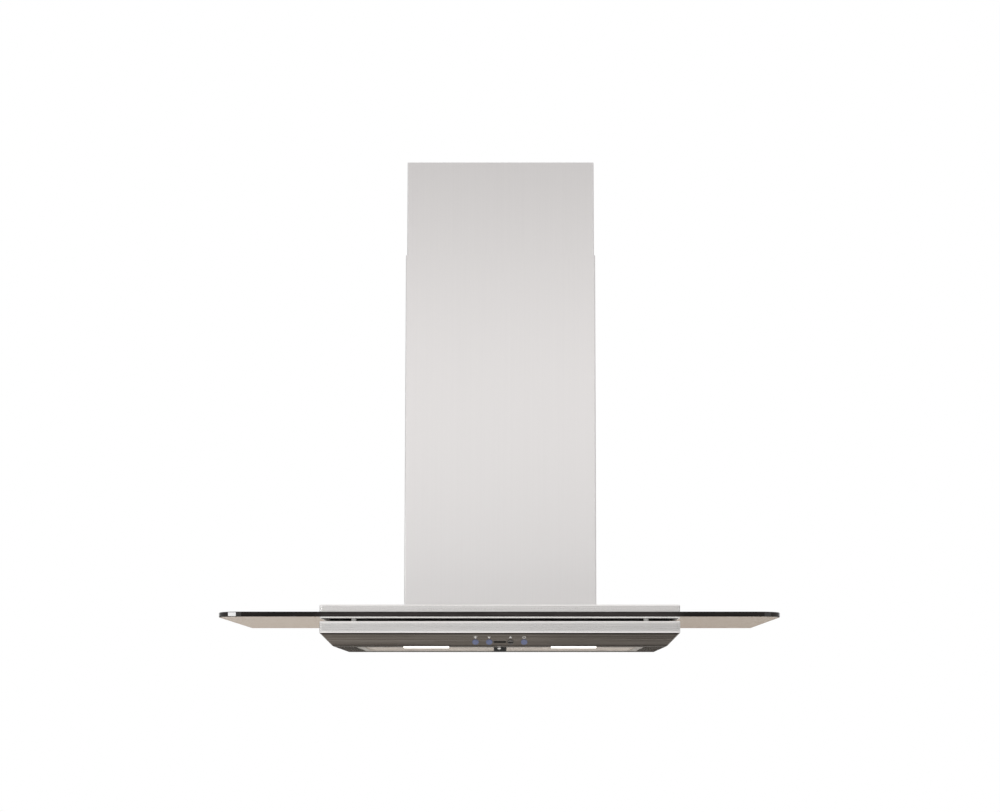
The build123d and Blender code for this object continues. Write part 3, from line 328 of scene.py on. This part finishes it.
key_unlit = moulded("key_unlit", (0.11, 0.103, 0.097), (0.15, 0.142, 0.135), 0.36, 2200.0)
sign_ink = moulded("sign_ink", (0.66, 0.64, 0.62), (0.78, 0.765, 0.75), 0.45, 2600.0)
canopy_glass = clear_glass("canopy_glass")

node_finish = {
    steels_with_painted_highlight["canopy_frame"]: ["canopy_frame"],
    steels_with_painted_highlight["top_deck"]: ["top_deck"],
    chimney_steel: ["lower_chimney_cover", "upper_chimney_cover"],
    dark_steel: ["skirt_pan"],
    canopy_glass: ["glass_canopy"],
    filter_metal: ["filter_frame", "filter_mesh"],
    zinc: [
        "blower_chassis", "upper_wall_bracket", "motor_bracket", "chimney_clips", "junction_box",
        "junction_cover", "capacitor_clip", "damper_pin",
    ],
    screw_zinc: [
        "clamp_screws", "clamp_nuts", "chassis_screws", "pan_screws", "chimney_screws",
        "upper_cover_screws", "motor_screws", "motor_shaft", "latch_spring",
    ],
    can_metal: ["capacitor"],
    black_plastic: [
        "blower_scroll", "inlet_ring", "blower_wheel", "duct_collar", "damper_flap_front",
        "damper_flap_rear", "control_carrier",
    ],
    white_plastic: ["glass_bushes", "lamp_housing_left", "lamp_housing_right", "led_driver"],
    soft_rubber: ["body_gasket", "deck_gasket", "cable_bushing"],
    motor_paint: ["motor"],
    board_green: ["control_board", "lamp_board_left", "lamp_board_right", "key_switches"],
    latch_black: ["latch_knob"],
    display_black: ["display_window"],
    lamp_white: ["lamp_lens_left", "lamp_lens_right"],
    key_blue: ["button_light", "button_slower", "button_power"],
    key_unlit: ["button_faster"],
}
for finish, names in node_finish.items():
    for name in names:
        nodes[name].data.materials.clear()
        nodes[name].data.materials.append(finish)

# Modelling helpers
smooth_angle = math.radians(35)


def deselect_all():
    """Leave no object selected."""
    for piece in list(bpy.context.selected_objects):
        piece.select_set(False)


def work_on(piece):
    """Make this the one selected and active object."""
    deselect_all()
    piece.select_set(True)
    bpy.context.view_layer.objects.active = piece


def started(name):
    """Name the primitive that was just added, and enter edit mode with nothing selected."""
    piece = bpy.context.active_object
    piece.name = name
    piece.data.name = name
    bpy.ops.object.mode_set(mode="EDIT")
    bpy.ops.mesh.select_mode(type="FACE")
    bpy.ops.mesh.select_all(action="DESELECT")
    return piece


def edit_faces(piece):
    """Enter edit mode to choose faces of a piece."""
    work_on(piece)
    bpy.ops.object.mode_set(mode="EDIT")
    bpy.ops.mesh.select_mode(type="FACE")


def edit_all(piece):
    """Enter edit mode with the whole piece selected."""
    edit_faces(piece)
    bpy.ops.mesh.select_all(action="SELECT")


def leave_edit():
    """Back to object mode."""
    bpy.ops.object.mode_set(mode="OBJECT")


def pick_faces(piece, wanted):
    """Select the faces whose centre and normal pass the test."""
    shape = bmesh.from_edit_mesh(piece.data)
    for face in shape.faces:
        face.select_set(wanted(face.calc_center_median(), face.normal))
    bmesh.update_edit_mesh(piece.data)


def pick_points(piece, wanted):
    """Select the points whose place passes the test."""
    bpy.ops.mesh.select_mode(type="VERT")
    shape = bmesh.from_edit_mesh(piece.data)
    for point in shape.verts:
        point.select_set(wanted(point.co))
    shape.select_flush_mode()
    bmesh.update_edit_mesh(piece.data)


def thicken(piece, thickness):
    """Give a flat piece its thickness."""
    work_on(piece)
    wall = piece.modifiers.new("thickness", "SOLIDIFY")
    wall.thickness = thickness
    wall.offset = 0.0
    bpy.ops.object.modifier_apply(modifier=wall.name)


def repeat(piece, count, step):
    """Repeat a piece along one direction."""
    work_on(piece)
    row = piece.modifiers.new("row", "ARRAY")
    row.count = count
    row.use_relative_offset = False
    row.use_constant_offset = True
    row.constant_offset_displace = step
    bpy.ops.object.modifier_apply(modifier=row.name)


def copy_of(piece, name):
    """Copy with a mesh of its own."""
    twin = piece.copy()
    twin.data = piece.data.copy()
    twin.name = name
    twin.data.name = name
    scene.collection.objects.link(twin)
    return twin


def joined(pieces, name):
    """Join pieces into the first one."""
    whole = pieces[0]
    work_on(whole)
    for piece in pieces:
        piece.select_set(True)
    if len(pieces) > 1:
        bpy.ops.object.join()
    whole.name = name
    whole.data.name = name
    return whole


def set_down(piece, turn):
    """Move a finished piece to its place and keep the place in its mesh."""
    work_on(piece)
    piece.matrix_world = turn @ piece.matrix_world
    bpy.context.view_layer.update()
    bpy.ops.object.transform_apply(location=True, rotation=True, scale=True)


def dressed(piece, finish, body):
    """Give a piece its finish in a material slot, and its body."""
    piece.data.materials.clear()
    piece.data.materials.append(finish)
    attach(piece, body)


# Grease filter: three layers of expanded aluminium mesh, of slit and stretched strands
mesh_low, mesh_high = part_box("filter_mesh")
mesh_span = mesh_high - mesh_low
latch_plate_half = 0.031
latch_plate_rear = -0.2822
strand_width = 0.0011
strand_thickness = 0.0005
strand_twist = 0.0005
side_corner_start = 0.3
# Each layer: name, rise over the lowest point of the mesh, columns, rows
strand_layers = (
    ("filter_strands", 0.0004, 44, 36),
    ("filter_strands_middle", mesh_span.z * 0.45, 40, 33),
    ("filter_strands_upper", mesh_span.z - 0.0009, 42, 35),
)


def strand_cell(name, centre, pitch):
    """One diamond of the mesh: a flat ring whose side corners are twisted upwards."""
    deselect_all()
    bpy.ops.mesh.primitive_circle_add(vertices=4, radius=0.5, fill_type="NGON", location=centre)
    cell = started(name)
    bpy.ops.mesh.select_all(action="SELECT")
    bpy.ops.transform.resize(value=(pitch[0], pitch[1], 1.0))
    bpy.ops.mesh.inset(thickness=strand_width)
    bpy.ops.mesh.delete(type="FACE")
    pick_points(cell, lambda place: abs(place.x) > pitch[0] * side_corner_start)
    bpy.ops.transform.translate(value=(0.0, 0.0, strand_twist))
    leave_edit()
    return cell


def strand_sheet(name, rise, columns, rows):
    """Staggered rows of diamonds over the filter, cut out round the latch plate."""
    pitch = (mesh_span.x / columns, mesh_span.y / rows)
    sheets = []
    for label, shift in (("whole", 1), ("staggered", 2)):
        corner = (
            mesh_low.x + shift * pitch[0] / 2,
            mesh_low.y + shift * pitch[1] / 2,
            mesh_low.z + rise,
        )
        cell = strand_cell(f"{name}_{label}", corner, pitch)
        repeat(cell, columns + 1 - shift, (pitch[0], 0.0, 0.0))
        repeat(cell, rows + 1 - shift, (0.0, pitch[1], 0.0))
        sheets.append(cell)
    sheet = joined(sheets, name)
    bpy.ops.object.transform_apply(location=True, rotation=True, scale=True)
    edit_faces(sheet)
    pick_faces(sheet, lambda place, normal: abs(place.x) < latch_plate_half and place.y < latch_plate_rear)
    bpy.ops.mesh.delete(type="FACE")
    leave_edit()
    thicken(sheet, strand_thickness)
    return sheet


for layer_name, layer_rise, layer_columns, layer_rows in strand_layers:
    strands = strand_sheet(layer_name, layer_rise, layer_columns, layer_rows)
    dressed(strands, strand_metal, "grease_filter")
    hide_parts("filter_mesh")

# Tapping screws with a cross recess on the chimney covers
shank_radius = 0.0018
shank_length = 0.007
head_corners = 32


def tapping_screw(name, head_radius, head_height, recess):
    """Screw along Z with its seat at the origin, a rounded head and a cross recess in it."""
    deselect_all()
    bpy.ops.mesh.primitive_cylinder_add(
        vertices=head_corners, radius=head_radius, depth=head_height, location=(0, 0, head_height / 2)
    )
    screw = started(name)
    pick_faces(screw, lambda place, normal: normal.z < -0.9)
    bpy.ops.mesh.inset(thickness=head_radius - shank_radius)
    bpy.ops.mesh.extrude_region_move(TRANSFORM_OT_translate={"value": (0, 0, -shank_length)})
    bpy.ops.mesh.select_all(action="DESELECT")
    pick_faces(screw, lambda place, normal: normal.z > 0.9 and place.z > head_height * 0.3)
    bpy.ops.mesh.bevel(offset=head_height * 0.45, segments=4, affect="EDGES")
    leave_edit()
    bpy.ops.object.transform_apply(location=True, rotation=True, scale=True)
    arms = []
    arm_length, arm_width = head_radius * 1.1, head_radius * 0.3
    for label, size in (("arm_x", (arm_length, arm_width)), ("arm_y", (arm_width, arm_length))):
        deselect_all()
        bpy.ops.mesh.primitive_cube_add(size=1.0, location=(0, 0, head_height))
        arm = started(label)
        bpy.ops.mesh.select_all(action="SELECT")
        bpy.ops.transform.resize(value=(size[0], size[1], recess * 2))
        leave_edit()
        arms.append(arm)
    for arm in arms:
        work_on(screw)
        cut = screw.modifiers.new("recess", "BOOLEAN")
        cut.operation = "DIFFERENCE"
        cut.solver = "EXACT"
        cut.object = arm
        bpy.ops.object.modifier_apply(modifier=cut.name)
        bpy.data.objects.remove(arm)
    work_on(screw)
    bpy.ops.object.shade_smooth_by_angle(angle=smooth_angle)
    return screw


def side_screw_pair(node, body, head_height, recess, name):
    """Detailed screws in place of a node's pair, with their heads on the two side walls."""
    low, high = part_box(node)
    middle_y, middle_z = (low.y + high.y) / 2, (low.z + high.z) / 2
    head_radius = (high.z - low.z) / 2
    seat = high.x - head_height
    first = tapping_screw(f"{name}_right", head_radius, head_height, recess)
    second = copy_of(first, f"{name}_left")
    for screw, side in ((first, 1), (second, -1)):
        outward = Matrix.Rotation(side * math.pi / 2, 4, "Y")
        set_down(screw, Matrix.Translation((side * seat, middle_y, middle_z)) @ outward)
        dressed(screw, screw_zinc, body)
    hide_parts(node)
    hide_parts(node)


side_screw_pair("chimney_screws", "hood", head_height=0.002, recess=0.0011, name="foot_screw")
side_screw_pair(
    "upper_cover_screws", "upper_chimney", head_height=0.0006, recess=0.0004, name="bracket_screw"
)

# Signs over the keys: thin plates printed on the sloped fascia
fascia_middle = Vector((0.0, -0.3691, 0.0105))
fascia_out = Vector((0.0, -0.7207, -0.6933))
fascia_up = Vector((0.0, -0.6933, 0.7207))
sign_row = 0.0052
sign_thickness = 0.00012
outer_key = 0.040
inner_key = 0.0175
arrow_radius = 0.0029
bulb_radius = 0.0019
ray_count = 5
ray_step = 35
ring_radius = 0.0028
ring_hole = 0.0019
ring_gap_half = 0.0012
ring_gap_start = 0.0017


def on_fascia(across, rise=sign_row, proud=0.0):
    """Place on or over the fascia, with Y up the slope and Z out of it."""
    spot = fascia_middle + fascia_up * rise + fascia_out * (proud + sign_thickness / 2)
    spot.x += across
    turn = Matrix((Vector((1, 0, 0)), fascia_up, fascia_out)).transposed().to_4x4()
    return Matrix.Translation(spot) @ turn


def flat_bar(name, width, height, rise, angle=0.0):
    """Small bar of a sign, raised from its sign's centre and turned about it."""
    deselect_all()
    bpy.ops.mesh.primitive_plane_add(size=1.0)
    bar = started(name)
    bpy.ops.mesh.select_all(action="SELECT")
    bpy.ops.transform.resize(value=(width, height, 1.0))
    bpy.ops.transform.translate(value=(0.0, rise, 0.0))
    bpy.ops.transform.rotate(value=angle, orient_axis="Z", center_override=(0.0, 0.0, 0.0))
    leave_edit()
    return bar


def disc(name, radius, rise=0.0, corners=24):
    """Round or cornered plate of a sign, raised from its sign's centre."""
    deselect_all()
    bpy.ops.mesh.primitive_circle_add(vertices=corners, radius=radius, fill_type="NGON")
    plate = started(name)
    bpy.ops.mesh.select_all(action="SELECT")
    bpy.ops.transform.translate(value=(0.0, rise, 0.0))
    leave_edit()
    return plate


def arrow(name, turn):
    """Three-cornered plate, which points up the slope before its turn."""
    plate = disc(name, arrow_radius, corners=3)
    edit_all(plate)
    bpy.ops.transform.rotate(value=turn, orient_axis="Z", center_override=(0.0, 0.0, 0.0))
    leave_edit()
    return plate


def open_ring(name):
    """Ring that is open at its top."""
    ring = disc(name, ring_radius)
    edit_all(ring)
    bpy.ops.mesh.inset(thickness=ring_radius - ring_hole)
    bpy.ops.mesh.delete(type="FACE")
    pick_faces(ring, lambda place, normal: place.y > ring_gap_start and abs(place.x) < ring_gap_half)
    bpy.ops.mesh.delete(type="FACE")
    leave_edit()
    return ring


def finished_sign(parts, name, across):
    """Join the parts of a sign, give them thickness and put the sign on the fascia."""
    sign = joined(parts, name)
    edit_all(sign)
    bpy.ops.mesh.normals_make_consistent(inside=False)
    leave_edit()
    thicken(sign, sign_thickness)
    set_down(sign, on_fascia(across))
    dressed(sign, sign_ink, "hood")


lamp_parts = [
    disc("bulb", bulb_radius, rise=0.0004),
    flat_bar("bulb_foot", width=0.0017, height=0.0011, rise=-0.0022),
]
for number in range(ray_count):
    ray_angle = math.radians(ray_step * (number - ray_count // 2))
    lamp_parts.append(flat_bar(f"ray_{number}", width=0.0005, height=0.0011, rise=0.0034, angle=ray_angle))
finished_sign(lamp_parts, "sign_lamp", -outer_key)
finished_sign([arrow("lower_arrow", math.pi)], "sign_slower", -inner_key)
finished_sign([arrow("upper_arrow", 0.0)], "sign_faster", inner_key)
power_parts = [
    open_ring("power_ring"),
    flat_bar("power_bar", width=0.0007, height=0.0024, rise=0.0016),
]
finished_sign(power_parts, "sign_power", outer_key)

# Release button on the filter latch; its pale, mostly dull nickel is a painted highlight that stays bright
# under any light
knob_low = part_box("latch_knob")[0]
button_size = (0.0060, 0.0028, 0.0032)
button_rounding = 0.0013
button_place = (-0.0015, knob_low.y + 0.0004, knob_low.z + 0.0052)
deselect_all()
bpy.ops.mesh.primitive_cube_add(size=1.0)
release_button = started("latch_button")
bpy.ops.mesh.select_all(action="SELECT")
bpy.ops.transform.resize(value=button_size)
bpy.ops.mesh.bevel(offset=button_rounding, segments=5, affect="EDGES")
leave_edit()
set_down(release_button, Matrix.Translation(button_place))
bpy.ops.object.shade_smooth_by_angle(angle=smooth_angle)
dressed(release_button, nickel_painted_highlight, "filter_latch")

# Dark status line across the unlit key
key_row = -0.00495
key_proud = 0.0014
line_length = 0.0084
line_height = 0.0026
line_rounding = 0.0008
deselect_all()
bpy.ops.mesh.primitive_plane_add(size=1.0)
status_line = started("key_status_line")
bpy.ops.mesh.select_all(action="SELECT")
bpy.ops.transform.resize(value=(line_length, line_height, 1.0))
bpy.ops.mesh.bevel(offset=line_rounding, segments=3, affect="VERTICES")
leave_edit()
thicken(status_line, sign_thickness)
set_down(status_line, on_fascia(inner_key, key_row, key_proud))
dressed(status_line, display_black, "faster_key")

# Floor and reflection cards of the studio
floor_level = -1.65
floor_radius = 14.0
floor_fade_start = 1.5
floor_fade_end = 6.0
# Tilt about X, then swing about Z
lying = (0.0, 0.0)
standing = (math.pi / 2, 0.0)
sideways = (math.pi / 2, math.pi / 2)
left_swing = math.radians(-50.9)
standing_left = (math.pi / 2, left_swing)
lying_left = (0.0, left_swing)


def dull_finish(name, dark, light):
    """Dull studio paint with slow clouds, and its node tree, shader and texture coordinates."""
    finish, tree, shader, place = new_finish(name)
    clouds = noise(tree, place, (0.8, 0.8, 0.8), 1.0)
    tree.links.new(tones(tree, clouds, dark, light), shader.inputs["Base Color"])
    shader.inputs["Roughness"].default_value = 0.9
    shader.inputs["Specular IOR Level"].default_value = 0.1
    return finish, tree, shader, place


def reflection_card(name, middle, size, turn, colour, glow=1.0):
    """Card that only shows in reflections, as a studio card out of the frame does."""
    deselect_all()
    bpy.ops.mesh.primitive_plane_add(size=1.0)
    card = started(name)
    bpy.ops.mesh.select_all(action="SELECT")
    bpy.ops.transform.resize(value=(size[0], size[1], 1.0))
    bpy.ops.mesh.subdivide(number_cuts=3)
    leave_edit()
    tilt, swing = turn
    turned = Matrix.Rotation(swing, 4, "Z") @ Matrix.Rotation(tilt, 4, "X")
    set_down(card, Matrix.Translation(middle) @ turned)
    finish = dull_finish(name, (0.0, 0.0, 0.0), (0.0, 0.0, 0.0))[0]
    light_up(finish, colour, glow)
    card.data.materials.append(finish)
    card.visible_camera = False
    card.visible_diffuse = False
    card.visible_transmission = False
    card.visible_shadow = False


def studio_floor():
    """Pale round floor that fades into the white of the studio and is clear from below."""
    deselect_all()
    bpy.ops.mesh.primitive_circle_add(
        vertices=96, radius=floor_radius, fill_type="NGON", location=(0.0, 0.0, floor_level)
    )
    floor = started("floor")
    bpy.ops.mesh.select_all(action="SELECT")
    bpy.ops.mesh.inset(thickness=floor_radius / 2)
    leave_edit()
    set_down(floor, Matrix.Identity(4))
    finish, tree, shader, place = dull_finish("floor", (0.88, 0.875, 0.87), (0.9, 0.895, 0.89))
    level_place = tree.nodes.new("ShaderNodeMapping")
    level_place.inputs["Scale"].default_value = (1.0, 1.0, 0.0)
    tree.links.new(place.outputs["Object"], level_place.inputs["Vector"])
    distance = tree.nodes.new("ShaderNodeVectorMath")
    distance.operation = "LENGTH"
    tree.links.new(level_place.outputs["Vector"], distance.inputs[0])
    far = spread(tree, distance.outputs["Value"], 0.0, 1.0, floor_fade_start, floor_fade_end)
    white = tree.nodes.new("ShaderNodeEmission")
    faded = tree.nodes.new("ShaderNodeMixShader")
    tree.links.new(math_node(tree, "MULTIPLY", seen_share(tree), far), faded.inputs["Fac"])
    tree.links.new(shader.outputs[0], faded.inputs[1])
    tree.links.new(white.outputs[0], faded.inputs[2])
    clear = tree.nodes.new("ShaderNodeBsdfTransparent")
    side = tree.nodes.new("ShaderNodeNewGeometry")
    one_sided = tree.nodes.new("ShaderNodeMixShader")
    tree.links.new(side.outputs["Backfacing"], one_sided.inputs["Fac"])
    tree.links.new(faded.outputs[0], one_sided.inputs[1])
    tree.links.new(clear.outputs[0], one_sided.inputs[2])
    tree.links.new(one_sided.outputs[0], tree.nodes["Material Output"].inputs["Surface"])
    floor.data.materials.append(finish)


studio_floor()
# Name, middle, size, turn, colour, and the strength of the glow where it differs from 1
reflection_card("glass_card_left", (-0.9, 0.9, 0.008), (1.8, 0.054), standing, (0.47, 0.395, 0.325))
reflection_card("glass_card_right", (0.9, 0.9, 0.008), (1.8, 0.054), standing, (0.39, 0.32, 0.255))
reflection_card("rear_shade", (0.0, 0.9, -0.37), (3.6, 0.70), standing, (0.06, 0.055, 0.05))
reflection_card("cooktop_left", (-0.275, -0.26, -0.68), (0.75, 0.72), lying, (0.27, 0.25, 0.232))
reflection_card("cooktop_right", (0.375, -0.26, -0.68), (0.55, 0.72), lying, (0.17, 0.158, 0.146))
reflection_card("front_floor", (0.0, -1.885, -0.72), (3.2, 2.53), lying, (1.0, 0.99, 0.98), 1.15)
reflection_card("horizon_shade", (1.25, -4.3, 0.21), (4.7, 0.32), standing, (0.25, 0.245, 0.24))
reflection_card("left_strip", (-2.62, -2.25, 0.1715), (2.05, 0.022), standing_left, (1.0, 1.0, 1.0), 20.0)
reflection_card("left_flag", (-2.25, -1.95, 0.186), (2.2, 0.95), lying_left, (0.3, 0.295, 0.29))
reflection_card("left_shade", (-3.0, 0.65, 0.75), (3.7, 2.9), sideways, (0.5, 0.495, 0.49))
reflection_card("right_shade", (3.0, 0.65, 0.75), (3.7, 2.9), sideways, (0.45, 0.44, 0.435))
reflection_card("middle_card", (0.0, -4.6, 1.1), (4.0, 1.0), standing, (1.0, 0.985, 0.98), 1.28)
reflection_card("upper_card", (0.0, -6.0, 3.4), (9.0, 3.2), standing, (0.5, 0.49, 0.485))
reflection_card("right_card", (2.4, -4.6, -0.2), (3.4, 0.8), standing, (0.22, 0.21, 0.2))

# Soft light
hood_middle = Vector((0.0, -0.2, 0.3))
hood_rear = Vector((0.0, -0.1, 0.3))


def softbox(name, place, aim, size, power):
    """Soft rectangular lamp that looks at a point of the hood."""
    lamp = bpy.data.lights.new(name, "AREA")
    lamp.shape = "RECTANGLE"
    lamp.size, lamp.size_y = size
    lamp.energy = power
    holder = bpy.data.objects.new(name, lamp)
    holder.location = place
    holder.rotation_euler = (aim - Vector(place)).to_track_quat("-Z", "Y").to_euler()
    holder.visible_glossy = False
    holder.visible_transmission = False
    scene.collection.objects.link(holder)


def studio_air():
    """World that lights evenly, and is white where the camera, metal and glass show it."""
    world = bpy.data.worlds.new("studio_air")
    scene.world = world
    world.use_nodes = True
    tree = world.node_tree
    tree.nodes.clear()
    output = tree.nodes.new("ShaderNodeOutputWorld")
    soft_light = tree.nodes.new("ShaderNodeBackground")
    soft_light.inputs["Color"].default_value = (1.0, 0.995, 0.985, 1.0)
    soft_light.inputs["Strength"].default_value = 0.7
    white = tree.nodes.new("ShaderNodeBackground")
    white.inputs["Color"].default_value = (1.0, 1.0, 1.0, 1.0)
    white.inputs["Strength"].default_value = 1.0
    choice = tree.nodes.new("ShaderNodeMixShader")
    tree.links.new(seen_share(tree), choice.inputs["Fac"])
    tree.links.new(soft_light.outputs[0], choice.inputs[1])
    tree.links.new(white.outputs[0], choice.inputs[2])
    tree.links.new(choice.outputs[0], output.inputs["Surface"])


softbox("key_softbox", (-2.6, -2.7, 1.6), hood_middle, size=(1.6, 1.8), power=36.0)
softbox("fill_softbox", (2.6, -3.0, 1.0), hood_middle, size=(1.8, 1.8), power=18.0)
softbox("back_softbox", (0.8, 2.8, 2.2), hood_rear, size=(2.0, 1.6), power=32.0)
softbox("top_softbox", (0.0, -0.6, 2.8), hood_middle, size=(2.2, 1.6), power=26.0)
studio_air()

# Camera at the photograph's place, low in front of the hood
lens_tilt = math.radians(6.146)
camera_data = bpy.data.cameras.new("photo_camera")
camera_data.sensor_width = 36.0
camera_data.lens = 82.479
camera_data.shift_x = -0.0174
camera_data.shift_y = 0.06
camera_data.clip_end = 100.0
camera = bpy.data.objects.new("photo_camera", camera_data)
camera.location = (0.0289, -4.1415, -0.1087)
camera.rotation_euler = (math.pi / 2 + lens_tilt, 0.0, 0.0)
scene.collection.objects.link(camera)
scene.camera = camera
scene.view_settings.view_transform = "Standard"
